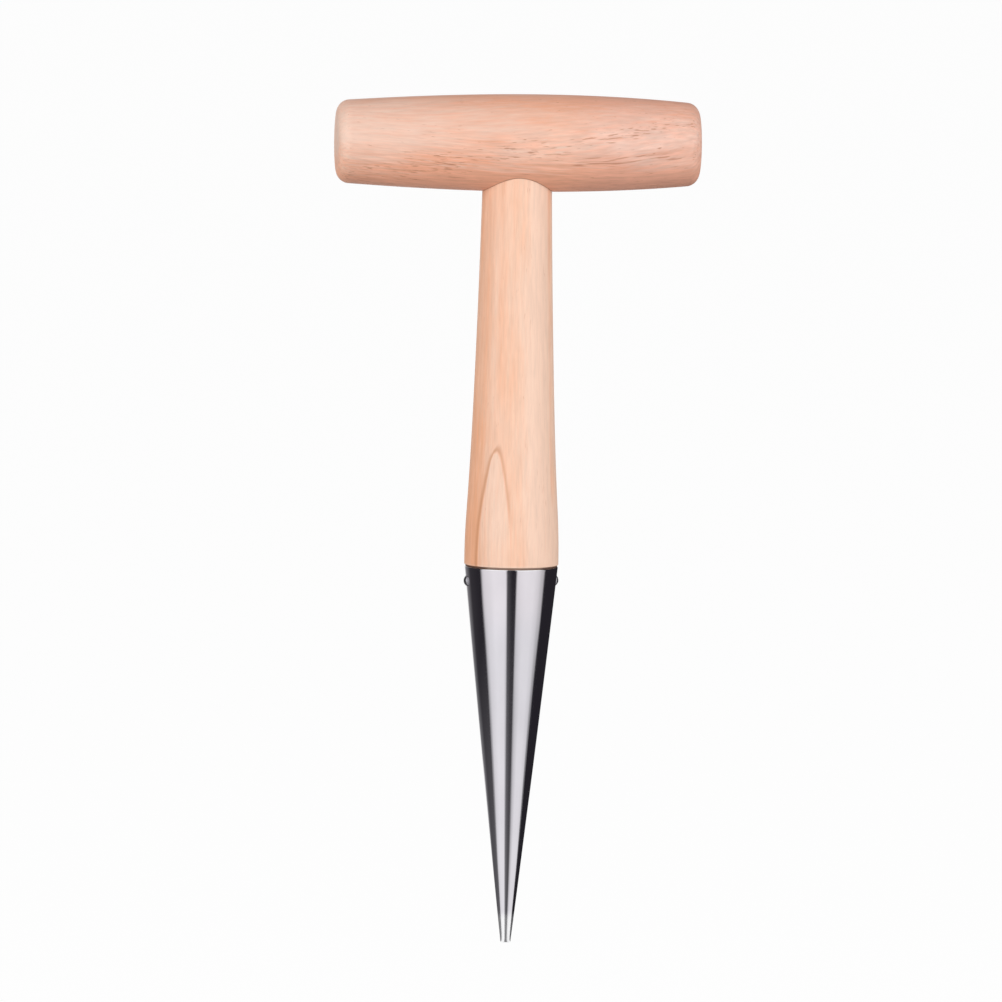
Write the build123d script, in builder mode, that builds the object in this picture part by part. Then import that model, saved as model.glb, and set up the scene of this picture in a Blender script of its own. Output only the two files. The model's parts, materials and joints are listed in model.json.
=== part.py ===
from build123d import *
from math import atan, cos, radians, sin
import os

# A dibber with a T handle, for making planting holes. A turned barrel crossbar is bored from below,
# and the turned stem is glued into that bore. The stem's tapered foot is wedged into a hollow
# steel cone and held there by two round-head pins.
# Millimetres. +Z runs up the stem, the crossbar lies along X, and the origin is the middle of the tip.

# Steel cone
cone_length = 124.6
cone_mouth_diameter = 30.7
cone_tip_diameter = 3.2
cone_wall = 1.0
cone_nose_length = 9.0
cone_rim_break = 0.3
cone_tip_rounding = 0.5

# Stem, from the cone's mouth up to the crossbar's underside
stem_length = 123.4
stem_top_diameter = 22.9
stem_overhang = 0.25
stem_foot_gap = 0.5
stem_foot_band = 2.0
stem_foot_break = 0.4
stem_shoulder_height = 17.4
stem_shoulder_fall = 0.45
stem_waist_height = 50.4
stem_waist_fall = 2.05
peg_length = 22.0
peg_chamfer = 1.2
spigot_length = 42.0
spigot_chamfer = 1.5

# Crossbar
bar_length = 119.5
bar_diameter = 32.0
bar_straight = 28.0
bar_swell = 2.7
bar_round_length = 3.5
socket_clearance = 0.05

# Round-head pins
pin_drop = 4.9
pin_turn = 8.0
pin_shank_diameter = 1.6
pin_shank_length = 10.0
pin_point_length = 2.4
pin_head_diameter = 3.5
pin_head_height = 1.25
pin_head_edge = 0.2
pin_hole_clearance = 0.1

# Heights of the joints
bar_underside = cone_length + stem_length
bar_axis_height = bar_underside + bar_diameter / 2
peg_top = bar_underside + peg_length
foot_height = cone_length + stem_foot_gap
spigot_end = cone_length - spigot_length
pin_height = cone_length - pin_drop

# Radii, the slope of the cone, and the barrel's slope where its end rounding starts
mouth_radius = cone_mouth_diameter / 2
tip_radius = cone_tip_diameter / 2
half_angle = atan((mouth_radius - tip_radius) / cone_length)
foot_radius = mouth_radius + stem_overhang
neck_radius = stem_top_diameter / 2
bar_radius = bar_diameter / 2
barrel_half = bar_length / 2 - bar_round_length
barrel_end_radius = bar_radius - bar_swell
barrel_end_slope = atan(2 * bar_swell / (barrel_half - bar_straight / 2))
bar_flat_radius = barrel_end_radius - bar_round_length * cos(barrel_end_slope) / (1 - sin(barrel_end_slope))
head_radius = pin_head_diameter / 2
shank_radius = pin_shank_diameter / 2


def outer_radius(height):
    """Radius of the cone's outside at a height above the tip."""
    return tip_radius + (mouth_radius - tip_radius) * height / cone_length


def inner_radius(height):
    """Radius of the cone's inside, one wall thickness in from the outside."""
    return outer_radius(height) - cone_wall / cos(half_angle)


def pin_seat(turn):
    """Plane that touches the cone's outside where a pin goes in, facing squarely out of the steel."""
    across_x = cos(radians(turn))
    across_y = sin(radians(turn))
    radius = outer_radius(pin_height)
    return Plane(
        origin=(across_x * radius, across_y * radius, pin_height),
        x_dir=(-across_y, across_x, 0),
        z_dir=(across_x * cos(half_angle), across_y * cos(half_angle), -sin(half_angle)),
    )


pin_seats = {"left_pin": pin_seat(180 + pin_turn), "right_pin": pin_seat(pin_turn)}

# Full outside of the cone, which shapes the undersides of the pin heads
with BuildPart() as cone_outside:
    Cone(tip_radius, mouth_radius, cone_length, align=(Align.CENTER, Align.CENTER, Align.MIN))

# Pins: each domed head is drawn down on the cone, and each shank runs in square to the steel
pins = {}
for pin_name, seat in pin_seats.items():
    side_on = Plane(origin=seat.origin, x_dir=seat.x_dir, z_dir=-seat.y_dir)
    pin_axis = Axis(seat.origin, seat.z_dir)
    with BuildPart() as pin:
        with BuildSketch(side_on):
            with BuildLine():
                TangentArc((0, pin_head_height), (head_radius, pin_head_edge), tangent=(1, 0))
                Polyline(
                    (head_radius, pin_head_edge),
                    (head_radius, -pin_head_edge),
                    (0, -pin_head_edge),
                    (0, pin_head_height),
                )
            make_face()
        revolve(axis=pin_axis)
        add(cone_outside.part, mode=Mode.SUBTRACT)
        with BuildSketch(side_on):
            with BuildLine():
                Polyline(
                    (0, pin_head_edge),
                    (shank_radius, pin_head_edge),
                    (shank_radius, pin_point_length - pin_shank_length),
                    (0, -pin_shank_length),
                    close=True,
                )
            make_face()
        revolve(axis=pin_axis)
    pin.part.label = pin_name
    pins[pin_name] = pin.part

# Steel cone: thin straight wall, closed blunt nose, broken rim edges, and a hole for each pin
with BuildPart() as cone:
    with BuildSketch(Plane.XZ) as cone_wall_section:
        with BuildLine():
            Polyline(
                (0, 0),
                (tip_radius, 0),
                (mouth_radius, cone_length),
                (inner_radius(cone_length), cone_length),
                (inner_radius(cone_nose_length), cone_nose_length),
                (0, cone_nose_length),
                close=True,
            )
        make_face()
        chamfer(cone_wall_section.vertices().group_by(Axis.Y)[-1], length=cone_rim_break)
        fillet(cone_wall_section.vertices().group_by(Axis.Y)[0].sort_by(Axis.X)[-1], radius=cone_tip_rounding)
    revolve(axis=Axis.Z)
    with Locations(*pin_seats.values()):
        Hole(radius=shank_radius + pin_hole_clearance, depth=pin_shank_length)
cone.part.label = "steel_cone"

# Stem: straight peg, slow taper that flares to a parallel foot band, then the spigot inside the cone
with BuildPart() as stem:
    with BuildSketch(Plane.XZ) as stem_outline:
        with BuildLine():
            shoulder = TangentArc(
                (foot_radius, foot_height + stem_foot_band),
                (foot_radius - stem_shoulder_fall, cone_length + stem_shoulder_height),
                tangent=(0, 1),
            )
            waist = TangentArc(
                shoulder @ 1,
                (foot_radius - stem_waist_fall, cone_length + stem_waist_height),
                tangent=shoulder % 1,
            )
            neck = TangentArc(waist @ 1, (neck_radius, bar_underside), tangent=waist % 1)
            Polyline(
                neck @ 1,
                (neck_radius, peg_top),
                (0, peg_top),
                (0, spigot_end),
                (inner_radius(spigot_end), spigot_end),
                (inner_radius(foot_height), foot_height),
                (foot_radius, foot_height),
                shoulder @ 0,
            )
        make_face()
    revolve(axis=Axis.Z)
    turned_rings = stem.edges().filter_by(GeomType.CIRCLE)
    chamfer(turned_rings.group_by(Axis.Z)[-1], length=peg_chamfer)
    chamfer(turned_rings.group_by(Axis.Z)[0], length=spigot_chamfer)
    foot_face = stem.faces().filter_by(GeomType.PLANE).sort_by(Axis.Z)[1]
    chamfer(foot_face.edges().sort_by(SortBy.LENGTH)[-1], length=stem_foot_break)
    add(pins.values(), mode=Mode.SUBTRACT)
stem.part.label = "stem"

# Crossbar: barrel-turned, rounded ends, and a blind bore from below that takes the stem's peg
with BuildPart() as crossbar:
    bar_side = Plane(origin=(0, 0, bar_axis_height), x_dir=(1, 0, 0), z_dir=(0, -1, 0))
    with BuildSketch(bar_side):
        with BuildLine():
            Line((0, bar_radius), (bar_straight / 2, bar_radius))
            swell = Bezier(
                (bar_straight / 2, bar_radius),
                ((bar_straight / 2 + barrel_half) / 2, bar_radius),
                (barrel_half, barrel_end_radius),
            )
            end_round = TangentArc(swell @ 1, (bar_length / 2, bar_flat_radius), tangent=swell % 1)
            Polyline(end_round @ 1, (bar_length / 2, 0), (0, 0), (0, bar_radius))
        make_face()
        mirror(about=Plane.YZ)
    revolve(axis=Axis(bar_side.origin, (1, 0, 0)))
    with Locations(Plane(origin=(0, 0, bar_underside), z_dir=(0, 0, -1))):
        Hole(radius=neck_radius + socket_clearance, depth=peg_length)
crossbar.part.label = "crossbar_grip"

os.makedirs("parts", exist_ok=True)
for piece in (crossbar.part, stem.part, cone.part, *pins.values()):
    export_step(piece, f"parts/{piece.label}.step")
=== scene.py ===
import json
from math import atan, atan2, cos, pi, radians, sin, tan

import bpy
import numpy as np
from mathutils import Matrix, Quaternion, Vector


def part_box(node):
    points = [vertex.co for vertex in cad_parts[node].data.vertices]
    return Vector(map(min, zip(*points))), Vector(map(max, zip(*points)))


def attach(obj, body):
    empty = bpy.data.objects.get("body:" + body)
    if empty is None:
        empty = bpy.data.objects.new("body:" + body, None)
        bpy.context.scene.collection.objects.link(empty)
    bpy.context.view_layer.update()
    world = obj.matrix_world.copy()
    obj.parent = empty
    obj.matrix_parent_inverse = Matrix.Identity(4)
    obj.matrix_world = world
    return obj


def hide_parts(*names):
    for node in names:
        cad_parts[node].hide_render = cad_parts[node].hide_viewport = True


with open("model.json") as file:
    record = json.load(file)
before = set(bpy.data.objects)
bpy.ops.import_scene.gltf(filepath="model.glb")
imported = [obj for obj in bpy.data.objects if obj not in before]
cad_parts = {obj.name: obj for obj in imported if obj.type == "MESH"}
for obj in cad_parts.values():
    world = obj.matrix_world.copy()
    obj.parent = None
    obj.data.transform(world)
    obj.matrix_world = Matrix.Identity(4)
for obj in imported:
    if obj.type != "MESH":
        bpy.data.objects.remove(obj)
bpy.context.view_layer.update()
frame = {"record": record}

# A dibber: a barrel-turned crossbar, a tapered stem, a polished steel cone and two round-head pins.
# Metres. +Z runs up the stem, the crossbar lies along X, and the origin is the middle of the tip.
MM = 0.001

# Sizes read from the frame
bar_low, bar_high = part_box("crossbar_grip")
stem_low, stem_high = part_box("stem")
_, cone_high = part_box("steel_cone")
mounts = {mount["name"]: mount for mount in frame["record"]["mounts"]}
bar_half_length = bar_high.x
bar_radius = bar_high.y
bar_axis_height = (bar_high.z + bar_low.z) / 2
bar_underside = mounts["rack_seat"]["pos_m"][2]
peg_top = stem_high.z
spigot_end = stem_low.z
cone_length = cone_high.z

# Crossbar
BAR_SWELL = 2.25 * MM
BAR_LEAN = 0.36 * MM
BAR_ROUND_LENGTH = 4.0 * MM
SOCKET_CLEARANCE = 0.05 * MM
SOCKET_EDGE = 0.3 * MM

# Stem
NECK_RADIUS = 11.45 * MM
FOOT_TRIM = 0.12 * MM
FOOT_GAP = 0.5 * MM
FOOT_BAND = 2.0 * MM
FOOT_EDGE = 0.3 * MM
SHOULDER_HEIGHT = 17.4 * MM
SHOULDER_FALL = 0.45 * MM
WAIST_HEIGHT = 50.4 * MM
WAIST_FALL = 2.05 * MM
PEG_EDGE = 1.2 * MM
SPIGOT_EDGE = 1.5 * MM
SPIGOT_ROOM = 0.02 * MM
BEAD_RADIUS = 15.1 * MM
BEAD_ROOM = 0.03 * MM

# Cone
MOUTH_RADIUS = 15.35 * MM
TIP_RADIUS = 1.6 * MM
TIP_EDGE = 0.5 * MM
CONE_WALL = 1.0 * MM
NOSE_LENGTH = 9.0 * MM
RIM_EDGE = 0.42 * MM
CONE_BULGE = 0.2 * MM

# Pins
PIN_DROP = 4.9 * MM
PIN_TURN = radians(8.0)
HEAD_RADIUS = 1.75 * MM
HEAD_HEIGHT = 1.1 * MM
HEAD_EDGE = 0.2 * MM
SHANK_RADIUS = 0.8 * MM
SHANK_LENGTH = 10.0 * MM
POINT_LENGTH = 2.4 * MM

# How finely the pieces are divided round their axes, and the angle from which an edge is a true corner
BAR_SEGMENTS = 224
STEM_SEGMENTS = 224
CONE_SEGMENTS = 288
PIN_SEGMENTS = 64
SHARP_ANGLE = radians(50)

# Growth layers in the stem: their normal faces front left, they lean a little off the axis, and left of
# their crest they fall away. Each layer is a step deep, and one of them starts at a set depth.
STEM_LAYER_TURN = radians(120)
STEM_LAYER_LEAN = 0.0069
STEM_LAYER_FALL = 0.08
STEM_LAYER_STEP = 22.0 * MM
STEM_LAYER_START = 14.93 * MM

# Growth layers in the crossbar, which dip at a bend that slants across it
BAR_LAYER_STEP = 7.0 * MM
BAR_LAYER_START = 1.2 * MM
BAR_BEND_SLANT = 3.5
BAR_BEND_WIDTH = 16 * MM
BAR_BEND_DIP = 0.1

# Colours of the wood: pale, deep and line tones
STEM_PALE = (0.975, 0.668, 0.512, 1)
STEM_DEEP = (0.95, 0.478, 0.28, 1)
STEM_LINE = (0.62, 0.26, 0.12, 1)
BAR_PALE = (0.885, 0.60, 0.482, 1)
BAR_DEEP = (0.885, 0.435, 0.285, 1)
BAR_LINE = (0.50, 0.19, 0.10, 1)
BAR_RIGHT_PALE = (0.86, 0.60, 0.505, 1)
BAR_RIGHT_DEEP = (0.86, 0.435, 0.305, 1)
# Painted light: paler colours of the left end
BAR_LEFT_END_LIT_PALE = (0.96, 0.672, 0.54, 1)
BAR_LEFT_END_LIT_DEEP = (0.96, 0.49, 0.325, 1)
# Brown of glue and painted shade in the joints
GLUE_AND_SHADE_BROWN = (0.085, 0.04, 0.027, 1)

# Colours of the steel and of the studio
CONE_GREY = (0.745, 0.725, 0.77, 1)
MOUTH_GREY = (0.80, 0.76, 0.805, 1)
# Painted highlight colour of the rim
RIM_HIGHLIGHT = (0.97, 0.96, 0.97, 1)
# Paler steel of the tip
PALE_TIP_STEEL = (0.97, 0.97, 0.98, 1)
PIN_GREY = (0.45, 0.44, 0.47, 1)
FLOOR_GREY = (0.55, 0.55, 0.55, 1)
CLOTH_DARK = (0.022, 0.020, 0.025, 1)
WHITE = (1, 1, 1, 1)
BLACK = (0, 0, 0, 1)

# Photograph: its size and scale, the pixel that the tip falls on, and how it is viewed
IMAGE_PIXELS = 1002
METRES_PER_PIXEL = 0.32947 * MM
TIP_PIXEL = (505.3, 942.4)
VIEW_DISTANCE = 6.0
SENSOR_WIDTH = 36.0
VIEW_ELEVATION = radians(5.0)
VIEW_YAW = radians(5.0)
VIEW_ROLL = radians(0.9)


def tangent_arc(start, end, leaving, count):
    """Circular arc from start to end that leaves start along a unit direction. The chord's parts along
    and across that direction give the turn, 2 atan(across / along), and the radius, chord^2 / (2 across).
    Returns the points and the direction at the end."""
    start = np.asarray(start, float)
    chord = np.asarray(end, float) - start
    leaving = np.asarray(leaving, float)
    across = np.array([-leaving[1], leaving[0]])
    turn = 2 * atan2(chord @ across, chord @ leaving)
    radius = chord @ chord / (2 * (chord @ across))
    angle = turn * np.linspace(0, 1, count)[:, None]
    points = start + radius * (np.sin(angle) * leaving + (1 - np.cos(angle)) * across)
    return points, cos(turn) * leaving + sin(turn) * across


def rounded(corner, before, after, radius, count=9):
    """Arc that rounds a corner between two straight runs: it touches each run at radius / tan(half angle)
    from the corner, and its centre lies on the bisector."""
    corner = np.asarray(corner, float)
    back = np.asarray(before, float) - corner
    on = np.asarray(after, float) - corner
    back /= np.linalg.norm(back)
    on /= np.linalg.norm(on)
    half = np.arccos(np.clip(back @ on, -1, 1)) / 2
    reach = radius / tan(half)
    points, _ = tangent_arc(corner + back * reach, corner + on * reach, -back, count)
    return points


def along(start, end, count):
    """Evenly spaced points on a straight run, both ends included."""
    return np.linspace(np.asarray(start, float), np.asarray(end, float), count)


def outline(*runs):
    """Joins runs of profile points end to end and drops points that repeat."""
    points = np.concatenate(runs)
    step = np.linalg.norm(np.diff(points, axis=0), axis=1)
    return points[np.concatenate([[True], step > 1e-8])]


def turned_faces(rings, segments, closed_ends=True):
    """Quads between neighbouring rings of a turned grid, and a fan at each pole. Vertex r * segments + s
    is point s of ring r, and the two poles follow the last ring."""
    index = np.arange(rings * segments).reshape(rings, segments)
    beside = np.roll(index, -1, axis=1)
    quads = np.stack([index[:-1], beside[:-1], beside[1:], index[1:]], axis=-1).reshape(-1, 4)
    if not closed_ends:
        return quads.tolist()
    first = np.full(segments, rings * segments)
    fans = [
        np.stack([first, beside[0], index[0]], axis=-1),
        np.stack([first + 1, index[-1], beside[-1]], axis=-1),
    ]
    return quads.tolist() + np.concatenate(fans).tolist()


def turned(profile, segments):
    """Closed surface of revolution about Z: ring point = (r cos a, r sin a, z) for every profile point
    (r, z) off the axis, with a going once round, and the profile's two ends as poles on the axis."""
    angle = 2 * pi * np.arange(segments) / segments
    radius, height = profile[1:-1].T
    x = radius[:, None] * np.cos(angle)
    y = radius[:, None] * np.sin(angle)
    z = np.broadcast_to(height[:, None], x.shape)
    poles = [[0, 0, profile[0, 1]], [0, 0, profile[-1, 1]]]
    points = np.concatenate([np.stack([x, y, z], axis=-1).reshape(-1, 3), poles])
    return points, turned_faces(len(radius), segments)


def make_piece(name, points, faces, material, node, slot):
    """Makes a surface a mesh object in its node's place, smooth apart from true corners."""
    mesh = bpy.data.meshes.new(name)
    mesh.from_pydata(points.tolist(), [], faces)
    mesh.validate()
    mesh.shade_smooth()
    mesh.set_sharp_from_angle(angle=SHARP_ANGLE)
    mesh.materials.append(material)
    piece = bpy.data.objects.new(name, mesh)
    bpy.context.scene.collection.objects.link(piece)
    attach(piece, "root")
    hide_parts(node)


# Shapes of the pieces

cone_slope = (MOUTH_RADIUS - TIP_RADIUS) / cone_length
cone_half_angle = atan(cone_slope)
foot_height = cone_length + FOOT_GAP
foot_radius = stem_high.x - FOOT_TRIM


def cone_outside(height):
    """Radius of the cone's outside: straight from tip to mouth, with a very slight bulge between."""
    share = height / cone_length
    return TIP_RADIUS + cone_slope * height + 4 * CONE_BULGE * share * (1 - share)


def cone_inside(height):
    """Radius of the cone's inside: straight, one wall thickness in."""
    return TIP_RADIUS + cone_slope * height - CONE_WALL / cos(cone_half_angle)


def cone_shape():
    """Thin hollow cone: from the middle of the blunt tip up the outside, over the rounded rim, and down
    the inside to the closed nose, all turned about Z."""
    tip = (TIP_RADIUS, 0)
    mouth = (MOUTH_RADIUS, cone_length)
    lip = (cone_inside(cone_length), cone_length)
    nose = (cone_inside(NOSE_LENGTH), NOSE_LENGTH)
    tip_round = rounded(tip, (0, 0), mouth, TIP_EDGE)
    rim_round = rounded(mouth, tip, lip, RIM_EDGE, count=13)
    lip_round = rounded(lip, mouth, nose, RIM_EDGE)
    side = along(tip_round[-1], rim_round[0], count=90)
    side[1:-1, 0] = cone_outside(side[1:-1, 1])
    profile = outline(
        along((0, 0), tip_round[0], count=4),
        tip_round,
        side,
        rim_round,
        lip_round,
        along(lip_round[-1], nose, count=24),
        along(nose, (0, NOSE_LENGTH), count=4),
    )
    return turned(profile, CONE_SEGMENTS)


def stem_shape():
    """Turned stem: spigot inside the cone, a bead of glue under the foot, foot with a parallel band,
    three tangent arcs that taper to the neck, and the straight peg inside the crossbar."""
    spigot_corner = (cone_inside(spigot_end) - SPIGOT_ROOM, spigot_end)
    bead_height = cone_length + BEAD_ROOM
    root = (cone_inside(bead_height) - SPIGOT_ROOM, bead_height)
    bead = np.array([(BEAD_RADIUS, bead_height), (BEAD_RADIUS, foot_height)])
    foot = (foot_radius, foot_height)
    band_top = (foot_radius, foot_height + FOOT_BAND)
    shoulder_top = (foot_radius - SHOULDER_FALL, cone_length + SHOULDER_HEIGHT)
    waist_top = (foot_radius - WAIST_FALL, cone_length + WAIST_HEIGHT)
    spigot_round = rounded(spigot_corner, (0, spigot_end), root, SPIGOT_EDGE, count=5)
    foot_round = rounded(foot, bead[1], band_top, FOOT_EDGE)
    shoulder, slope = tangent_arc(band_top, shoulder_top, (0, 1), count=20)
    waist, slope = tangent_arc(shoulder[-1], waist_top, slope, count=28)
    neck, _ = tangent_arc(waist[-1], (NECK_RADIUS, bar_underside), slope, count=50)
    peg_round = rounded((NECK_RADIUS, peg_top), neck[-1], (0, peg_top), PEG_EDGE, count=5)
    profile = outline(
        along((0, spigot_end), spigot_round[0], count=4),
        spigot_round,
        along(spigot_round[-1], root, count=20),
        along(root, bead[0], count=3),
        bead,
        foot_round,
        shoulder,
        waist,
        neck,
        along(neck[-1], peg_round[0], count=12),
        peg_round,
        along(peg_round[-1], (0, peg_top), count=4),
    )
    return turned(profile, STEM_SEGMENTS)


barrel_half = bar_half_length - BAR_ROUND_LENGTH


def barrel_radius(x):
    """Radius of the crossbar: a flat parabola, with a slight cubic lean that makes it fuller to the right
    of the middle than to the left. The lean's own rise is taken off, so the fullest place keeps the bar's
    radius."""
    share = x / barrel_half
    lean = BAR_LEAN * share * (1 - share ** 2) - BAR_LEAN ** 2 / (4 * BAR_SWELL)
    return bar_radius - BAR_SWELL * share ** 2 + lean


def bar_end(side):
    """Profile of one end of the crossbar, outwards from the barrel: an arc that carries on the barrel's
    slope and turns square to the flat end, then the flat in to the axis. Side is -1 for left and 1 for
    right."""
    start = (side * barrel_half, barrel_radius(side * barrel_half))
    slope = atan(2 * (BAR_SWELL + side * BAR_LEAN) / barrel_half)
    flat_radius = start[1] - BAR_ROUND_LENGTH * cos(slope) / (1 - sin(slope))
    flat_edge = (side * bar_half_length, flat_radius)
    end_round, _ = tangent_arc(start, flat_edge, (side * cos(slope), -sin(slope)), count=15)
    return outline(end_round, along(flat_edge, (side * bar_half_length, 0), count=8))


def crossbar_shape():
    """Barrel about the X axis: point = (x, r sin a, axis height - r cos a), with a = 0 underneath. Round
    the bore a rectangular window of the grid is left out and filled with rings that run from the window's
    edge to the bore's edge, over it, up the bore's wall and across its floor."""
    segments = BAR_SEGMENTS
    barrel_rings = 121
    patch_rings, edge_rings, wall_rings, floor_rings = 14, 6, 8, 3
    patch_crowding = 0.8
    window_margin = 4 * MM
    window_widening = 1.25
    barrel_x = barrel_half * np.linspace(-1, 1, barrel_rings)
    barrel = np.stack([barrel_x, barrel_radius(barrel_x)], axis=-1)
    profile = outline(bar_end(-1)[::-1], barrel, bar_end(1))
    ring_x, ring_radius = profile[1:-1].T
    angle = 2 * pi * np.arange(segments) / segments - pi

    def surface(x, radius, turn):
        return np.stack([x, radius * np.sin(turn), bar_axis_height - radius * np.cos(turn)], axis=-1)

    grid = surface(
        np.repeat(ring_x, segments).reshape(-1, segments),
        np.repeat(ring_radius, segments).reshape(-1, segments),
        np.broadcast_to(angle, (len(ring_x), segments)),
    ).reshape(-1, 3)
    poles = np.array([[-bar_half_length, 0, bar_axis_height], [bar_half_length, 0, bar_axis_height]])

    # Window in the grid, a little larger than the bore, and the loop of grid points round it
    bore_radius = NECK_RADIUS + SOCKET_CLEARANCE
    rows = np.flatnonzero(np.abs(ring_x) < bore_radius + window_margin)
    columns = np.flatnonzero(np.abs(angle) < window_widening * np.arcsin(bore_radius / bar_radius))
    low_row, high_row, low_column, high_column = rows[0], rows[-1], columns[0], columns[-1]
    loop_row = np.concatenate([
        np.full(len(columns) - 1, low_row),
        rows[:-1],
        np.full(len(columns) - 1, high_row),
        rows[:0:-1],
    ])
    loop_column = np.concatenate([
        columns[:-1],
        np.full(len(rows) - 1, high_column),
        columns[:0:-1],
        np.full(len(rows) - 1, low_column),
    ])
    loop_index = loop_row * segments + loop_column
    loop_x, loop_turn = ring_x[loop_row], angle[loop_column]
    bearing = np.arctan2(loop_turn / angle[high_column], loop_x / ring_x[high_row])

    # Rings on the barrel from the window in to the bore's edge, in the barrel's own coordinates
    edge_x = (bore_radius + SOCKET_EDGE) * np.cos(bearing)
    edge_turn = np.arcsin((bore_radius + SOCKET_EDGE) * np.sin(bearing) / barrel_radius(edge_x))
    blend = np.linspace(0, 1, patch_rings + 1)[1:, None] ** patch_crowding
    patch_x = loop_x + (edge_x - loop_x) * blend
    patch_turn = loop_turn + (edge_turn - loop_turn) * blend
    patch = surface(patch_x, barrel_radius(patch_x), patch_turn)

    # Rounded edge, wall and floor of the bore
    wall_x, wall_y = bore_radius * np.cos(bearing), bore_radius * np.sin(bearing)
    brim = bar_axis_height - np.sqrt(barrel_radius(wall_x) ** 2 - wall_y ** 2)
    brim_point = np.stack([wall_x, wall_y, brim], axis=-1)
    wall_start = brim_point + [0, 0, SOCKET_EDGE]
    share = np.linspace(0, 1, edge_rings + 1)[1:, None, None]
    edge = (1 - share) ** 2 * patch[-1] + 2 * share * (1 - share) * brim_point + share ** 2 * wall_start
    wall_end = np.stack([wall_x, wall_y, np.full_like(wall_x, peg_top)], axis=-1)
    wall_share = np.linspace(0, 1, wall_rings + 1)[1:, None, None]
    wall = wall_start + (wall_end - wall_start) * wall_share
    floor_shrink = np.linspace(1, 0, floor_rings + 2)[1:-1, None, None]
    floor = np.concatenate([
        wall_end[None, :, :2] * floor_shrink,
        np.full((floor_rings, len(wall_x), 1), peg_top),
    ], axis=-1)
    bore_rings = np.concatenate([patch, edge, wall, floor])

    points = np.concatenate([grid, poles, bore_rings.reshape(-1, 3), [[0, 0, peg_top]]])
    all_faces = turned_faces(len(ring_x), segments)
    quad_row, quad_column = np.divmod(np.arange((len(ring_x) - 1) * segments), segments)
    in_window = (quad_row >= low_row) & (quad_row < high_row)
    in_window &= (quad_column >= low_column) & (quad_column < high_column)
    kept = np.flatnonzero(~in_window).tolist()
    barrel_faces = [all_faces[i] for i in kept] + all_faces[len(in_window):]
    first = len(grid) + len(poles)
    ring_count, ring_size = bore_rings.shape[:2]
    ring_index = first + np.arange(ring_count * ring_size).reshape(ring_count, ring_size)
    ring_index = np.concatenate([loop_index[None], ring_index])
    beside = np.roll(ring_index, -1, axis=1)
    bore_faces = np.stack([ring_index[:-1], beside[:-1], beside[1:], ring_index[1:]], axis=-1)
    middle = np.full(ring_size, len(points) - 1)
    floor_fan = np.stack([ring_index[-1], beside[-1], middle], axis=-1)
    return points, barrel_faces + bore_faces.reshape(-1, 4).tolist() + floor_fan.tolist()


def pin_shape(turn):
    """Round-head pin square to the cone's outside: a shallow dome, a short skirt that follows the steel,
    and a shank with a point. Turned about its own axis, then its skirt is dropped on to the cone."""
    point_start = POINT_LENGTH - SHANK_LENGTH
    dome, _ = tangent_arc((0, HEAD_HEIGHT), (HEAD_RADIUS, HEAD_EDGE), (1, 0), count=18)
    skirt = along((HEAD_RADIUS, HEAD_EDGE), (HEAD_RADIUS, 0), count=4)
    under = along((HEAD_RADIUS, 0), (SHANK_RADIUS, 0), count=5)
    shank = along((SHANK_RADIUS, 0), (SHANK_RADIUS, point_start), count=8)
    point = along((SHANK_RADIUS, point_start), (0, -SHANK_LENGTH), count=5)
    points, faces = turned(outline(dome, skirt, under, shank, point)[::-1], PIN_SEGMENTS)

    seat_height = cone_length - PIN_DROP
    seat_radius = cone_outside(seat_height)
    level, fall = cos(cone_half_angle), sin(cone_half_angle)
    outward = np.array([cos(turn) * level, sin(turn) * level, -fall])
    across = np.array([-sin(turn), cos(turn), 0])
    upward = np.cross(outward, across)
    seat = np.array([cos(turn) * seat_radius, sin(turn) * seat_radius, seat_height])
    sag = points[:, 0] ** 2 / (2 * seat_radius / level)
    off_axis = np.hypot(points[:, 0], points[:, 1])
    on_steel = np.clip(1 - points[:, 2] / HEAD_EDGE, 0, 1) * (off_axis > SHANK_RADIUS / 2)
    lift = points[:, 2] - np.where(points[:, 2] > -HEAD_EDGE, sag * on_steel, 0)
    placed = seat + points[:, :1] * across + points[:, 1:2] * upward + lift[:, None] * outward
    return placed, faces


# Finishes. A tone is a share of the way from the pale colour to the deep one.

def feed(tree, socket, value):
    """Gives an input socket a number or colour, or links it to another socket."""
    if isinstance(value, bpy.types.NodeSocket):
        tree.links.new(value, socket)
    else:
        socket.default_value = value


def add_node(tree, kind, *inputs, **settings):
    """Adds a node, applies its settings, and fills its inputs by position or, from a dict, by name."""
    node = tree.nodes.new(kind)
    for name, setting in settings.items():
        setattr(node, name, setting)
    for place, value in enumerate(inputs):
        if isinstance(value, dict):
            for name, named_value in value.items():
                feed(tree, node.inputs[name], named_value)
        elif value is not None:
            feed(tree, node.inputs[place], value)
    return node


def maths(tree, operation, *inputs):
    """Adds a maths node and gives its result."""
    return add_node(tree, "ShaderNodeMath", *inputs, operation=operation).outputs[0]


def summed(tree, first, *others):
    """Adds up any number of values."""
    total = first
    for other in others:
        total = maths(tree, "ADD", total, other)
    return total


def ranged(tree, value, low, high, to_low=0.0, to_high=1.0, smooth=True):
    """Maps a value from one range to another, clamped, with soft ends if smooth."""
    kind = "SMOOTHSTEP" if smooth else "LINEAR"
    return add_node(
        tree, "ShaderNodeMapRange", value, low, high, to_low, to_high, interpolation_type=kind
    ).outputs[0]


def mixed(tree, share, first, second, blend="MIX"):
    """Mixes or blends two colours by a share."""
    node = add_node(tree, "ShaderNodeMix", data_type="RGBA", blend_type=blend)
    feed(tree, node.inputs[0], share)
    feed(tree, node.inputs[6], first)
    feed(tree, node.inputs[7], second)
    return node.outputs[2]


def swing(tree, field, spread, size=1.0):
    """Maps a noise field to -size to size, full at the spread either side of its middle."""
    return ranged(tree, field, 0.5 - spread, 0.5 + spread, -size, size, smooth=False)


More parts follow.
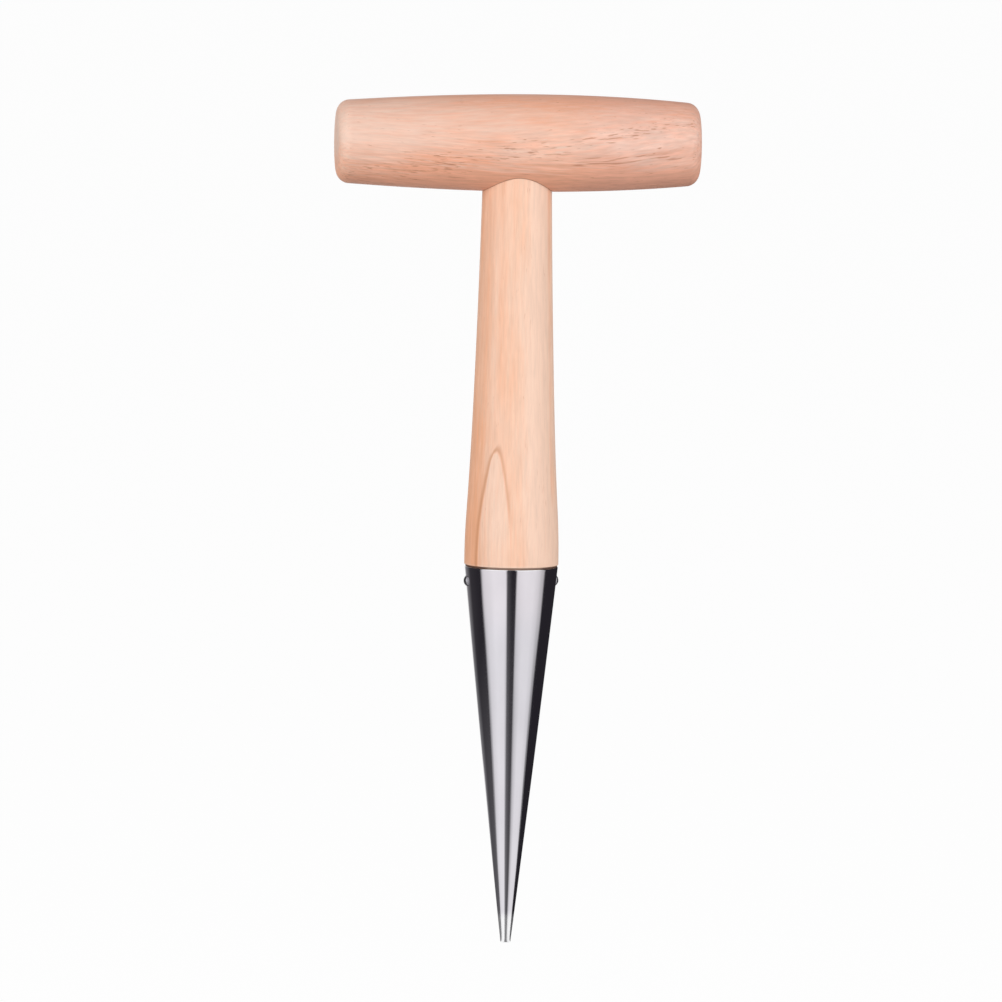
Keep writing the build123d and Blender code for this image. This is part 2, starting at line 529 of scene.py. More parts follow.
def noise(tree, vector, detail=2.0, roughness=0.5):
    """Soft noise field between 0 and 1."""
    node = add_node(tree, "ShaderNodeTexNoise", {
        "Vector": vector, "Scale": 1.0, "Detail": detail, "Roughness": roughness,
    })
    return node.outputs["Fac"]


def stretched(tree, vector, across, along_grain, shift=0.0):
    """Coordinates scaled across and along the grain and shifted, for a texture of scale 1."""
    node = add_node(tree, "ShaderNodeVectorMath", vector, operation="MULTIPLY_ADD")
    node.inputs[1].default_value = (across, across, along_grain)
    node.inputs[2].default_value = (shift, shift, shift)
    return node.outputs[0]


def new_group(name, inputs, outputs):
    """Shader node group with named sockets. Inputs and outputs map a name to a socket kind."""
    tree = bpy.data.node_groups.new(name, "ShaderNodeTree")
    for socket, kind in inputs.items():
        tree.interface.new_socket(socket, in_out="INPUT", socket_type="NodeSocket" + kind)
    for socket, kind in outputs.items():
        tree.interface.new_socket(socket, in_out="OUTPUT", socket_type="NodeSocket" + kind)
    return tree, tree.nodes.new("NodeGroupInput").outputs, tree.nodes.new("NodeGroupOutput").inputs


def turned_wood_group():
    """Fine pink-brown wood turned about its grain. Grain runs along Z and the growth layers are stacked
    along X, in metres. Each layer deepens slowly in tone and ends in a line that keeps its width on the
    turned surface. Over it lie broad tints, streaks and fibres, lighter and darker shading, short brown
    pore dashes with paler ones between them where the pore field is high, and long thin brown lines where
    the vessel field is high. One input gives the share of dark brown at the joints, which is glue and
    painted shade."""
    tree, given, result = new_group(
        "turned_wood",
        {
            "Place": "Vector", "Tint": "Float", "Pores": "Float", "Vessels": "Float", "Glue And Shade": "Float",
            "Pale": "Color", "Deep": "Color", "Line": "Color",
            "Layer Step": "Float", "Layer Start": "Float", "Layer Rise": "Float", "Layer Tone": "Float",
            "Line Tone": "Float", "Line Width": "Float", "Fibre Tone": "Float", "Pore Tone": "Float",
            "Shade": "Float",
        },
        {"Color": "Color", "Roughness": "Float", "Height": "Float"},
    )
    place = given["Place"]
    depth, across, _ = add_node(tree, "ShaderNodeSeparateXYZ", place).outputs

    # Noise fields, each with its scales across and along the grain and a shift that sets it apart
    wander = noise(tree, stretched(tree, place, 70, 12))
    waver = noise(tree, stretched(tree, place, 300, 60))
    tint = noise(tree, stretched(tree, place, 75, 20, 3.0))
    streak = noise(tree, stretched(tree, place, 380, 18), 3.0)
    fibre = noise(tree, stretched(tree, place, 1300, 105), 3.0, 0.6)
    cluster = noise(tree, stretched(tree, place, 170, 60, 7.0))
    pore = noise(tree, stretched(tree, place, 2300, 270, 11.0), 1.5, 0.45)
    vessel = noise(tree, stretched(tree, place, 2900, 75, 23.0), 1.5, 0.45)
    gleam = noise(tree, stretched(tree, place, 1900, 190, 17.0), 1.5, 0.45)
    shade = noise(tree, stretched(tree, place, 760, 75, 31.0), 2.0, 0.8)

    # Growth layers, whose faces wander a little and which differ in strength
    wander_depth, waver_depth = 0.4 * MM, 0.2 * MM
    layer = summed(
        tree, depth,
        maths(tree, "MULTIPLY", maths(tree, "SUBTRACT", wander, 0.5), wander_depth),
        maths(tree, "MULTIPLY", maths(tree, "SUBTRACT", waver, 0.5), waver_depth),
    )
    from_start = maths(tree, "SUBTRACT", layer, given["Layer Start"])
    count = maths(tree, "DIVIDE", from_start, given["Layer Step"])
    within = maths(tree, "FRACT", count)
    number = maths(tree, "FLOOR", count)
    chance = add_node(tree, "ShaderNodeTexWhiteNoise", {"W": number}, noise_dimensions="1D")
    strength = ranged(tree, chance.outputs["Value"], 0, 1, 0.45, 1.0, smooth=False)
    deepening = maths(tree, "MULTIPLY", maths(tree, "POWER", within, given["Layer Rise"]), strength)

    # The turned surface cuts a layer at the angle whose sine is across / radius
    least_slant = 0.04
    across_squared = maths(tree, "MULTIPLY", across, across)
    radius_squared = maths(tree, "MULTIPLY_ADD", depth, depth, across_squared)
    slant_squared = maths(tree, "DIVIDE", across_squared, radius_squared)
    slant = maths(tree, "SQRT", maths(tree, "ADD", slant_squared, least_slant ** 2))
    to_line = maths(tree, "MULTIPLY", maths(tree, "SUBTRACT", 1.0, within), given["Layer Step"])
    to_line = maths(tree, "DIVIDE", to_line, maths(tree, "MULTIPLY", slant, given["Line Width"]))
    line = maths(tree, "MULTIPLY", ranged(tree, to_line, 1.0, 0.4), ranged(tree, to_line, 0.0, 0.4))
    line = maths(tree, "MULTIPLY", line, given["Line Tone"])

    # Dashes, which gather in clumps
    sparse, dense = 0.70, 0.52
    clumps = swing(tree, cluster, 0.2, 0.35)

    def dashes(pattern, field, softness, tone):
        """Where a noise pattern passes a threshold that falls as the field rises."""
        crowd = maths(tree, "ADD", field, clumps)
        least = ranged(tree, crowd, 0.0, 1.0, sparse, dense, smooth=False)
        over = maths(tree, "DIVIDE", maths(tree, "SUBTRACT", pattern, least), softness)
        return ranged(tree, over, 0.0, 1.0, 0.0, tone)

    pores = dashes(pore, given["Pores"], softness=0.12, tone=1.0)
    vessels = dashes(vessel, given["Vessels"], softness=0.12, tone=0.9)
    gleams = dashes(gleam, given["Pores"], softness=0.14, tone=-0.45)
    dash = maths(tree, "MULTIPLY", maths(tree, "MAXIMUM", pores, vessels), given["Pore Tone"])

    tone = summed(
        tree,
        given["Tint"],
        maths(tree, "MULTIPLY", deepening, given["Layer Tone"]),
        swing(tree, tint, 0.2, 0.2),
        swing(tree, streak, 0.25, 0.22),
        maths(tree, "MULTIPLY", swing(tree, fibre, 0.25), given["Fibre Tone"]),
        gleams,
    )
    brightness = maths(tree, "MULTIPLY_ADD", swing(tree, shade, 0.25), given["Shade"], 1.0)
    colour = mixed(tree, ranged(tree, tone, 0, 1, smooth=False), given["Pale"], given["Deep"])
    colour = mixed(tree, 1.0, colour, brightness, "MULTIPLY")
    colour = mixed(tree, maths(tree, "MAXIMUM", line, dash), colour, given["Line"])
    colour = mixed(tree, given["Glue And Shade"], colour, GLUE_AND_SHADE_BROWN)
    raised, sunk = maths(tree, "MULTIPLY", fibre, 0.5), maths(tree, "MULTIPLY", dash, 0.8)
    tree.links.new(colour, result["Color"])
    tree.links.new(ranged(tree, streak, 0.2, 0.8, 0.42, 0.56), result["Roughness"])
    tree.links.new(maths(tree, "SUBTRACT", raised, sunk), result["Height"])
    return tree


def polished_steel_group():
    """Polished steel: fine lines left by the polishing mop round the Z axis, faint smudges and a few
    hairline scratches, given as tone, roughness and height."""
    tree, given, result = new_group(
        "polished_steel",
        {"Place": "Vector", "Least": "Float", "Most": "Float"},
        {"Tone": "Float", "Roughness": "Float", "Height": "Float"},
    )
    place = given["Place"]
    mop = noise(tree, stretched(tree, place, 60, 5200), 3.0, 0.6)
    smudge = noise(tree, stretched(tree, place, 90, 45), 3.0)
    hair = add_node(tree, "ShaderNodeTexVoronoi", {
        "Vector": stretched(tree, place, 160, 60), "Scale": 1.0, "Randomness": 1.0,
    }, feature="DISTANCE_TO_EDGE").outputs["Distance"]
    scratch = maths(tree, "MULTIPLY", ranged(tree, hair, 0.012, 0.0), ranged(tree, smudge, 0.5, 0.7))
    share = maths(tree, "ADD", maths(tree, "MULTIPLY", smudge, 0.7), maths(tree, "MULTIPLY", mop, 0.3))
    rough = ranged(tree, share, 0.3, 0.7, given["Least"], given["Most"], smooth=False)
    height = maths(tree, "SUBTRACT", maths(tree, "MULTIPLY", mop, 0.5), scratch)
    tree.links.new(ranged(tree, smudge, 0.3, 0.7, 1.0, 0.94), result["Tone"])
    tree.links.new(rough, result["Roughness"])
    tree.links.new(height, result["Height"])
    return tree


def new_material(name):
    """Material with a principled shader, its node tree and that shader."""
    material = bpy.data.materials.new(name)
    material.use_nodes = True
    tree = material.node_tree
    return material, tree, tree.nodes["Principled BSDF"]


def object_place(tree):
    """Object coordinates and their three parts."""
    place = tree.nodes.new("ShaderNodeTexCoord").outputs["Object"]
    return place, add_node(tree, "ShaderNodeSeparateXYZ", place).outputs


def axis_distance(tree, place):
    """Distance from the Z axis."""
    flat = add_node(tree, "ShaderNodeVectorMath", place, (1, 1, 0), operation="MULTIPLY").outputs[0]
    return add_node(tree, "ShaderNodeVectorMath", flat, operation="LENGTH").outputs["Value"]


def wood_finish(tree, shader, group, inputs):
    """Satin oiled wood from the shared wood group, with a fine grain relief."""
    wood = add_node(tree, "ShaderNodeGroup", node_tree=group)
    for socket, value in inputs.items():
        feed(tree, wood.inputs[socket], value)
    bump = add_node(tree, "ShaderNodeBump", {
        "Strength": 0.35, "Distance": 0.05 * MM, "Height": wood.outputs["Height"],
    })
    tree.links.new(wood.outputs["Color"], shader.inputs["Base Color"])
    tree.links.new(wood.outputs["Roughness"], shader.inputs["Roughness"])
    tree.links.new(bump.outputs[0], shader.inputs["Normal"])
    shader.inputs["Specular IOR Level"].default_value = 0.3


def stem_wood(group):
    """Pale straight-grained wood with hardly any pores. Its growth layers face front left, and it is more
    orange on the left and paler on the right, partly painted light and shade, and deeper along both
    sides. A painted highlight makes the last of the foot pale, and its underside and the spigot are dark
    with glue and painted shade."""
    material, tree, shader = new_material("stem_wood")
    place, (to_right, to_back, height) = object_place(tree)
    turned_place = add_node(tree, "ShaderNodeMapping", place, vector_type="POINT")
    turned_place.inputs["Location"].default_value = (0, 0, -cone_length)
    turned_place.inputs["Rotation"].default_value = (STEM_LAYER_LEAN, 0, STEM_LAYER_TURN)
    turned_parts = add_node(tree, "ShaderNodeSeparateXYZ", turned_place.outputs[0])
    depth, across, along_grain = turned_parts.outputs
    left_of_crest = maths(tree, "SMOOTH_MIN", across, 0.0, 0.5 * MM)
    layer_depth = maths(tree, "MULTIPLY_ADD", left_of_crest, STEM_LAYER_FALL, depth)
    grain = add_node(tree, "ShaderNodeCombineXYZ", layer_depth, across, along_grain).outputs[0]

    # Tones to the left and right, partly the wood's own and partly painted light and shade, by height,
    # and
    #  on the two sides by how far the surface faces sideways
    left_tone = ranged(tree, to_right, -13 * MM, -7 * MM, 0.65, 0.2)
    right_tone = ranged(tree, to_right, 1 * MM, 6 * MM, 0.0, -0.42)
    middle_tone = ranged(tree, height, 150 * MM, 185 * MM, 0.06, -0.07)
    neck_tone = ranged(tree, height, 212 * MM, 232 * MM, 0.0, 0.07)
    # Painted highlight: a pale band just above the lower edge of the foot
    foot_highlight = ranged(tree, height, foot_height + 0.9 * MM, foot_height + 0.4 * MM, 0.0, -0.3)
    sideways = maths(tree, "DIVIDE", to_right, axis_distance(tree, place))
    right_side = maths(
        tree, "ADD",
        ranged(tree, sideways, 0.78, 0.85, 0.0, 0.62), ranged(tree, sideways, 0.89, 0.95, 0.0, -0.35),
    )
    right_side = maths(tree, "MULTIPLY", right_side, ranged(tree, height, 138 * MM, 155 * MM))
    left_side = ranged(tree, sideways, -0.74, -0.84, 0.0, 0.1)
    left_side = maths(tree, "MULTIPLY", left_side, ranged(tree, height, 145 * MM, 165 * MM))
    left_side = maths(tree, "MULTIPLY", left_side, ranged(tree, height, 205 * MM, 185 * MM))

    # The layer's line is clear on the left, fainter on the right leg of its arch, and faint behind
    right_leg = ranged(tree, height, 136 * MM, 150 * MM, 0.0, 0.35)
    line_tone = ranged(tree, to_right, -7 * MM, -3 * MM, 0.62, right_leg)
    line_tone = maths(tree, "MULTIPLY", line_tone, ranged(tree, to_back, 5 * MM, 0.0, 0.2, 1.0))

    # Glue and painted shade in the gap under the foot, darkest at its two sides
    most_glue_and_shade = ranged(tree, maths(tree, "ABSOLUTE", to_right), 8 * MM, 10 * MM, 0.78, 0.95)
    glue_and_shade_from, glue_and_shade_to = foot_height + 0.2 * MM, foot_height - 0.05 * MM
    wood_finish(tree, shader, group, {
        "Place": grain,
        "Tint": summed(
            tree, right_side, left_side, left_tone, right_tone, middle_tone, neck_tone, foot_highlight
        ),
        "Pores": -0.06, "Vessels": -0.06,
        "Glue And Shade": ranged(tree, height, glue_and_shade_from, glue_and_shade_to, 0.0, most_glue_and_shade),
        "Pale": STEM_PALE, "Deep": STEM_DEEP, "Line": STEM_LINE,
        "Layer Step": STEM_LAYER_STEP, "Layer Start": STEM_LAYER_START,
        "Layer Rise": 6.0, "Layer Tone": 0.62,
        "Line Tone": line_tone,
        "Line Width": ranged(tree, to_right, -9 * MM, -5 * MM, 2.5 * MM, 1.5 * MM),
        "Fibre Tone": 0.16, "Pore Tone": 0.4, "Shade": 0.07,
    })
    return material


def grip_wood(group):
    """Pinker wood, its grain along the crossbar: it falls towards the middle from the left and climbs to
    the right, and it turns further right the lower it lies. Pore dashes gather in a band that climbs from
    lower left to upper right, long vessel lines follow it on the right and a lower one beside it, and the
    upper left is pale and plain. Painted shade deepens it towards its top and bottom, painted light makes
    the left end paler, and a dark line of glue and painted shade rings the stem."""
    material, tree, shader = new_material("grip_wood")
    place, (length, to_back, world_height) = object_place(tree)
    height = maths(tree, "SUBTRACT", world_height, bar_axis_height)
    bend = maths(tree, "MULTIPLY_ADD", height, BAR_BEND_SLANT, length)
    sag = maths(tree, "SQRT", maths(tree, "MULTIPLY_ADD", bend, bend, BAR_BEND_WIDTH ** 2))
    level = maths(tree, "MULTIPLY_ADD", sag, -BAR_BEND_DIP, height)
    grain = add_node(tree, "ShaderNodeCombineXYZ", level, to_back, length).outputs[0]

    # Pores and vessels gather in two climbing bands and fade before the ends
    band_climb, band_height = 0.17, -1.9 * MM
    low_band_climb, low_band_height = 0.1, -8.0 * MM
    band = maths(tree, "MULTIPLY_ADD", length, band_climb, band_height)
    over_band = maths(tree, "SUBTRACT", height, band)
    off_band = maths(tree, "ABSOLUTE", over_band)
    low_band = maths(tree, "MULTIPLY_ADD", length, low_band_climb, low_band_height)
    off_low_band = maths(tree, "ABSOLUTE", maths(tree, "SUBTRACT", height, low_band))
    from_end = maths(tree, "SUBTRACT", bar_half_length, maths(tree, "ABSOLUTE", length))
    fading = ranged(tree, from_end, 3.5 * MM, 0.8 * MM, 0.0, 0.9)
    most_pores = ranged(tree, length, 12 * MM, 26 * MM, 0.72, 0.15)
    pores = ranged(tree, off_band, 7 * MM, 1 * MM, -0.05, most_pores)
    off_vessels = maths(tree, "MINIMUM", off_band, off_low_band)
    most_vessels = ranged(tree, length, 10 * MM, 22 * MM, 0.1, 0.85)
    vessels = ranged(tree, off_vessels, 3.5 * MM, 0.5 * MM, -0.05, most_vessels)

    # Tones: palest a little above the axis and deeper above and below it, which is painted shade, and
    #  deeper along the top edge, also painted shade. They are deeper to the right and in the band on the
    #  left.
    #  Low on the right and at the upper left they are paler.
    palest_height, pale_span = 5 * MM, 14 * MM
    palest_tone, painted_shade_tone, tone_per_metre = 0.27, 0.65, 3.0
    left_band_rise, low_right_height = 2 * MM, -5.5 * MM
    off_pale = maths(tree, "DIVIDE", maths(tree, "SUBTRACT", height, palest_height), pale_span)
    # Painted shade: deeper above and below the palest height
    tint = maths(tree, "MULTIPLY_ADD", maths(tree, "POWER", off_pale, 2.0), painted_shade_tone, palest_tone)
    tint = maths(tree, "MULTIPLY_ADD", length, tone_per_metre, tint)
    off_left_band = maths(tree, "ABSOLUTE", maths(tree, "SUBTRACT", over_band, left_band_rise))
    most_left = ranged(tree, length, -48 * MM, -30 * MM, 0.06, 0.42)
    left_band = ranged(tree, off_left_band, 7 * MM, 1 * MM, 0.0, most_left)
    left_band = maths(tree, "MULTIPLY", left_band, ranged(tree, length, 2 * MM, -14 * MM))
    off_low_right = maths(tree, "ABSOLUTE", maths(tree, "SUBTRACT", height, low_right_height))
    low_right = ranged(tree, off_low_right, 3.5 * MM, 1 * MM, 0.0, -0.22)
    low_right = maths(tree, "MULTIPLY", low_right, ranged(tree, length, 30 * MM, 42 * MM))
    upper_left = ranged(tree, length, -20 * MM, -42 * MM, 0.0, -0.15)
    upper_left = maths(tree, "MULTIPLY", upper_left, ranged(tree, height, 0.0, 6 * MM))
    # Painted shade: deeper along the top edge
    top_edge_shade = ranged(tree, height, 11 * MM, 15 * MM, 0.0, 0.22)

    # Light and dark shading is stronger below a line that climbs to the right
    shade_climb = 0.12
    over_shade_line = maths(tree, "MULTIPLY_ADD", length, -shade_climb, height)

    # Colours of the right half, and of the left end, whose paler wood is painted light, and the dark line
    #  round the stem, which is glue and painted shade
    right_half = ranged(tree, length, 8 * MM, 36 * MM)
    lit_left_end = ranged(tree, length, 5 * MM - bar_half_length, 1 * MM - bar_half_length)
    pale = mixed(tree, lit_left_end, mixed(tree, right_half, BAR_PALE, BAR_RIGHT_PALE), BAR_LEFT_END_LIT_PALE)
    deep = mixed(tree, lit_left_end, mixed(tree, right_half, BAR_DEEP, BAR_RIGHT_DEEP), BAR_LEFT_END_LIT_DEEP)
    # Glue and painted shade: a dark ring on the underside close round the stem
    joint_from, joint_to = NECK_RADIUS + 0.6 * MM, NECK_RADIUS + 0.25 * MM
    joint = ranged(tree, axis_distance(tree, place), joint_from, joint_to, 0.0, 0.4)
    wood_finish(tree, shader, group, {
        "Place": grain,
        "Tint": summed(tree, tint, left_band, low_right, upper_left, top_edge_shade),
        "Pores": maths(tree, "SUBTRACT", pores, fading),
        "Vessels": maths(tree, "SUBTRACT", vessels, fading),
        "Glue And Shade": maths(tree, "MULTIPLY", joint, ranged(tree, height, 0.0, -2 * MM)),
        "Pale": pale, "Deep": deep, "Line": BAR_LINE,
        "Layer Step": BAR_LAYER_STEP, "Layer Start": BAR_LAYER_START,
        "Layer Rise": 2.0, "Layer Tone": 0.2,
        "Line Tone": 0.0, "Line Width": 1.0 * MM, "Fibre Tone": 0.3, "Pore Tone": 0.7,
        "Shade": ranged(tree, over_shade_line, 9 * MM, -1 * MM, 0.06, 0.14),
    })
    return material


def steel_finish(tree, shader, group, place, colour, least, most, relief):
    """Bright steel with the polishing group's tone, roughness and relief."""
    steel = add_node(tree, "ShaderNodeGroup", node_tree=group)
    feed(tree, steel.inputs["Place"], place)
    steel.inputs["Least"].default_value = least
    steel.inputs["Most"].default_value = most
    tone = mixed(tree, steel.outputs["Tone"], BLACK, colour)
    bump = add_node(tree, "ShaderNodeBump", {
        "Strength": relief, "Distance": 0.01 * MM, "Height": steel.outputs["Height"],
    })
    tree.links.new(tone, shader.inputs["Base Color"])
    tree.links.new(steel.outputs["Roughness"], shader.inputs["Roughness"])
    tree.links.new(bump.outputs[0], shader.inputs["Normal"])
    shader.inputs["Metallic"].default_value = 1.0


def cone_steel(group):
    """Polished sheet, brighter towards the mouth, with a painted highlight on the rim, and paler and less
    metallic at the tip.
    """
    material, tree, shader = new_material("cone_steel")
    place, (_, _, height) = object_place(tree)
    at_mouth = ranged(tree, height, 100 * MM, 115 * MM)
    # Painted highlight: the rounded rim is given a near-white colour
    rim_highlight = ranged(tree, height, cone_length - RIM_EDGE, cone_length - 0.8 * RIM_EDGE)
    # Paler and less metallic towards the tip
    pale_tip = ranged(tree, height, 11.5 * MM, 7.5 * MM)
    colour = mixed(tree, at_mouth, CONE_GREY, MOUTH_GREY)
    colour = mixed(tree, rim_highlight, colour, RIM_HIGHLIGHT)
    colour = mixed(tree, pale_tip, colour, PALE_TIP_STEEL)
    steel_finish(tree, shader, group, place, colour, least=0.05, most=0.12, relief=0.1)
    tree.links.new(ranged(tree, pale_tip, 0.0, 1.0, 1.0, 0.86), shader.inputs["Metallic"])
    return material


def pin_steel(group):
    """Drawn steel, duller than the cone."""
    material, tree, shader = new_material("pin_steel")
    place, _ = object_place(tree)
    steel_finish(tree, shader, group, place, PIN_GREY, least=0.2, most=0.3, relief=0.2)
    return material


# Parts of the studio

def shown_ray(tree):
    """1 for rays from the camera, a mirror or glass, and 0 for rays that carry light."""
    path = tree.nodes.new("ShaderNodeLightPath").outputs
    shown = maths(tree, "MAXIMUM", path["Is Camera Ray"], path["Is Glossy Ray"])
    return maths(tree, "MAXIMUM", shown, path["Is Transmission Ray"])


def bare_material(name):
    """Material with an empty node tree, that tree and its output node."""
    material = bpy.data.materials.new(name)
    material.use_nodes = True
    material.node_tree.nodes.clear()
    return material, material.node_tree, material.node_tree.nodes.new("ShaderNodeOutputMaterial")


def make_stage(name, points, faces, material):
    """Makes a surface a mesh object of the studio."""
    mesh = bpy.data.meshes.new(name)
    mesh.from_pydata(np.asarray(points).tolist(), [], faces)
    mesh.materials.append(material)
    prop = bpy.data.objects.new(name, mesh)
    bpy.context.scene.collection.objects.link(prop)
    return prop


def pale_floor():
    """Large plain floor. Its matt part keeps the shadow, and a white part lifts what is seen of it."""
    half = 40.0
    whiteness, white_share = 1.02, 0.95
    material, tree, output = bare_material("pale_floor")
    matt = add_node(tree, "ShaderNodeBsdfDiffuse", FLOOR_GREY)
    white = add_node(tree, "ShaderNodeEmission", WHITE, whiteness)
    share = maths(tree, "MULTIPLY", shown_ray(tree), white_share)
    blend = add_node(tree, "ShaderNodeMixShader", share, matt.outputs[0], white.outputs[0])
    tree.links.new(blend.outputs[0], output.inputs["Surface"])
    corners = [(-half, -half, 0), (half, -half, 0), (half, half, 0), (-half, half, 0)]
    make_stage("floor", corners, [(0, 1, 2, 3)], material)


def flag_tent():
    """White tent with dark cloth panels on its floor and wall, seen only in reflections. The tent is a
    profile of floor, wall and sloping top turned about Z. Which bearings are dark goes by the stops:
    bearing from the viewer in degrees, darkness far out, darkness close to the tip, and 1 where the dark
    cloth goes on above the wall and over the top. Half way out all stops are drawn a little towards the
    viewer, which widens the dark bands at the sides of the steel."""
    stops = [
        (-180, 0.30, 0.30, 0), (-163, 0.30, 0.30, 0), (-158, 0.75, 0.83, 1), (-126, 0.98, 0.90, 1),
        (-84, 1.00, 0.88, 1), (-77, 0.24, 0.85, 0), (-74.5, 0.18, 0.80, 0), (-69, 0.12, 0.20, 0),
        (-58, 0.08, 0.06, 0), (-45, 0.00, 0.00, 0), (-19, 0.04, 0.02, 0), (-13, 0.00, 0.75, 0),
        (-9.5, 0.94, 0.80, 1), (3, 1.00, 0.90, 1), (13, 1.00, 0.92, 1), (16.5, 0.14, 0.88, 0),
        (18, 0.11, 0.82, 0), (23, 0.10, 0.40, 0), (30, 0.07, 0.24, 0), (38, 0.05, 0.05, 0),
        (62, 0.05, 0.03, 0), (78, 0.22, 0.08, 0), (82, 0.34, 0.16, 0), (86, 0.40, 0.98, 0),
        (90, 0.44, 1.00, 0), (95, 1.00, 1.00, 1), (174, 1.00, 1.00, 1), (178, 0.30, 0.30, 0),
        (180, 0.30, 0.30, 0),
    ]
    # Distances from the axis: where the near darkness ends and the far one begins, and where the bands
    # are widest, with the span over which they narrow again and its limit towards the tip
    near, far = 0.06, 0.42
    widest, half_span, inner_limit = 0.30, 0.146, 1.4
    widening = 0.066

    # Tent, a little above the floor
    segments = 96
    lift = 0.3 * MM
    wall_top = 1.0
    floor_middle, floor_edge = (0.5 * MM, lift), (1.3, lift)
    wall_low, wall_high = (1.6, 0.3 + lift), (1.6, wall_top)
    opening_edge = (0.7, wall_top + 0.9)
    floor_run = along(floor_middle, floor_edge, count=8)
    skirting, _ = tangent_arc(floor_edge, wall_low, (1, 0), count=8)
    wall = along(wall_low, wall_high, count=4)
    top, _ = tangent_arc(wall_high, opening_edge, (0, 1), count=8)
    radius, height = outline(floor_run, skirting, wall, top).T
    angle = 2 * pi * np.arange(segments) / segments
    points = np.stack([
        radius[:, None] * np.cos(angle),
        radius[:, None] * np.sin(angle),
        np.broadcast_to(height[:, None], (len(height), segments)),
    ], axis=-1).reshape(-1, 3)

    material, tree, output = bare_material("flag_cloth")
    place, (to_right, to_back, above_floor) = object_place(tree)
    to_viewer = maths(tree, "MULTIPLY", to_back, -1.0)
    bearing = maths(tree, "ADD", maths(tree, "ARCTAN2", to_right, to_viewer), VIEW_YAW)
    reach = axis_distance(tree, place)
    far_share = ranged(tree, reach, near, far, smooth=False)
    inner, outer = widest - inner_limit * half_span, widest + half_span
    off_widest = ranged(tree, reach, inner, outer, -inner_limit, 1.0, smooth=False)
    squared = maths(tree, "MULTIPLY", off_widest, off_widest)
    width = maths(tree, "MULTIPLY_ADD", squared, -widening, 1 + widening)
    turn = maths(tree, "MULTIPLY_ADD", maths(tree, "MULTIPLY", bearing, width), 0.5 / pi, 0.5)
    panels = add_node(tree, "ShaderNodeValToRGB", maths(tree, "FRACT", turn))
    ramp = panels.color_ramp
    while len(ramp.elements) < len(stops):
        ramp.elements.new(0.5)
    for element, (degrees, *levels) in zip(ramp.elements, stops):
        element.position = degrees / 360 + 0.5
        element.color = (*levels, 1)
    far_dark, near_dark, tall = add_node(tree, "ShaderNodeSeparateColor", panels.outputs[0]).outputs
    gain = maths(tree, "SUBTRACT", far_dark, near_dark)
    hung = maths(tree, "MAXIMUM", tall, ranged(tree, above_floor, wall_top, 0.8 * wall_top))
    dark = maths(tree, "MULTIPLY", maths(tree, "MULTIPLY_ADD", far_share, gain, near_dark), hung)
    colour = mixed(tree, dark, WHITE, CLOTH_DARK)
    cloth = add_node(tree, "ShaderNodeEmission", colour, 1.0)
    tree.links.new(cloth.outputs[0], output.inputs["Surface"])
    faces = turned_faces(len(radius), segments, closed_ends=False)
    tent = make_stage("flag_tent", points, faces, material)
    for ray in ("camera", "diffuse", "transmission", "volume_scatter", "shadow"):
        setattr(tent, "visible_" + ray, False)


def soft_lamp(name, azimuth, elevation, distance, size, level):
    """Square soft lamp that faces the dibber. Its level is what a white surface facing it would show."""
    aim = Vector((0, 0, 0.15))
    a, e = radians(azimuth), radians(elevation)
    towards = Vector((sin(a) * cos(e), -cos(a) * cos(e), sin(e)))
    data = bpy.data.lights.new(name, "AREA")
    data.shape = "SQUARE"
    data.size = size
    data.energy = level * pi * distance ** 2 * pi
    lamp = bpy.data.objects.new(name, data)
    lamp.location = aim + towards * distance
    lamp.rotation_mode = "QUATERNION"
    lamp.rotation_quaternion = (-towards).to_track_quat("-Z", "Y")
    bpy.context.scene.collection.objects.link(lamp)


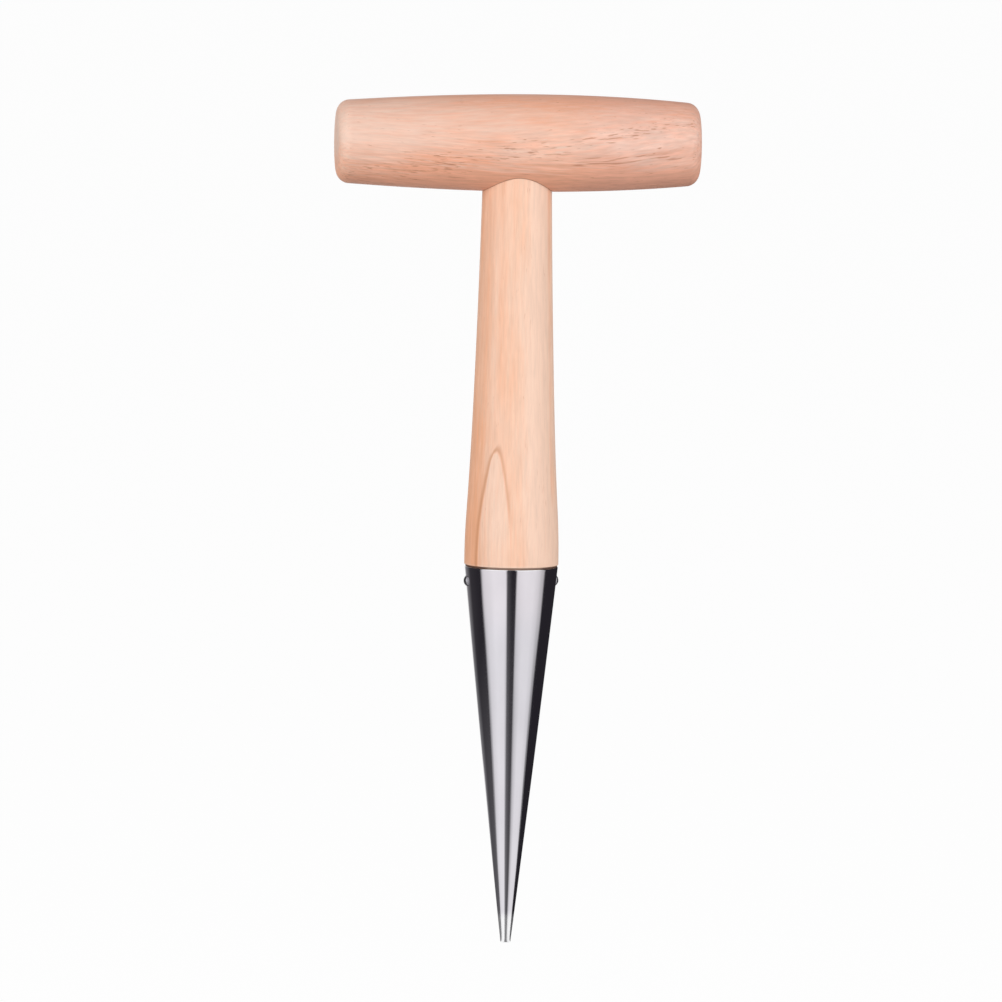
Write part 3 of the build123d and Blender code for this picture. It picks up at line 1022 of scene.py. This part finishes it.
def pale_world(fill):
    """Even pale surround: plain white where it is seen, and a soft fill light elsewhere."""
    world = bpy.data.worlds.new("studio")
    world.use_nodes = True
    tree = world.node_tree
    strength = ranged(tree, shown_ray(tree), 0, 1, fill, 1.0, smooth=False)
    background = tree.nodes["Background"]
    background.inputs["Color"].default_value = WHITE
    tree.links.new(strength, background.inputs["Strength"])
    bpy.context.scene.world = world


def place_camera():
    """Long lens at the photograph's viewing angle, aimed so that the tip falls on its pixel."""
    data = bpy.data.cameras.new("camera")
    data.sensor_width = SENSOR_WIDTH
    data.lens = SENSOR_WIDTH * VIEW_DISTANCE / (IMAGE_PIXELS * METRES_PER_PIXEL)
    data.clip_start = 0.1
    data.clip_end = 200.0
    camera = bpy.data.objects.new("camera", data)
    level = cos(VIEW_ELEVATION)
    towards = Vector((-sin(VIEW_YAW) * level, -cos(VIEW_YAW) * level, sin(VIEW_ELEVATION)))
    facing = (-towards).to_track_quat("-Z", "Y") @ Quaternion((0, 0, 1), VIEW_ROLL)
    right, up = facing @ Vector((1, 0, 0)), facing @ Vector((0, 1, 0))
    middle = IMAGE_PIXELS / 2
    to_right, to_up = middle - TIP_PIXEL[0], TIP_PIXEL[1] - middle
    aim = (right * to_right + up * to_up) * METRES_PER_PIXEL
    camera.location = aim + towards * VIEW_DISTANCE
    camera.rotation_mode = "QUATERNION"
    camera.rotation_quaternion = facing
    bpy.context.scene.collection.objects.link(camera)
    bpy.context.scene.camera = camera


# The dibber

wood = turned_wood_group()
steel = polished_steel_group()
pin_finish = pin_steel(steel)
make_piece("turned_crossbar", *crossbar_shape(), grip_wood(wood), "crossbar_grip", "grip_wood")
make_piece("turned_stem", *stem_shape(), stem_wood(wood), "stem", "stem_wood")
make_piece("polished_cone", *cone_shape(), cone_steel(steel), "steel_cone", "cone_steel")
make_piece("left_round_head_pin", *pin_shape(PIN_TURN + pi), pin_finish, "left_pin", "pin_steel")
make_piece("right_round_head_pin", *pin_shape(PIN_TURN), pin_finish, "right_pin", "pin_steel")

# The studio

pale_floor()
flag_tent()
for lamp_name, lamp_azimuth in (("left_lamp", -52), ("right_lamp", 50)):
    soft_lamp(lamp_name, lamp_azimuth, elevation=11.5, distance=2.0, size=1.6, level=0.685)
pale_world(fill=0.34)
place_camera()
bpy.context.scene.view_settings.view_transform = "Standard"
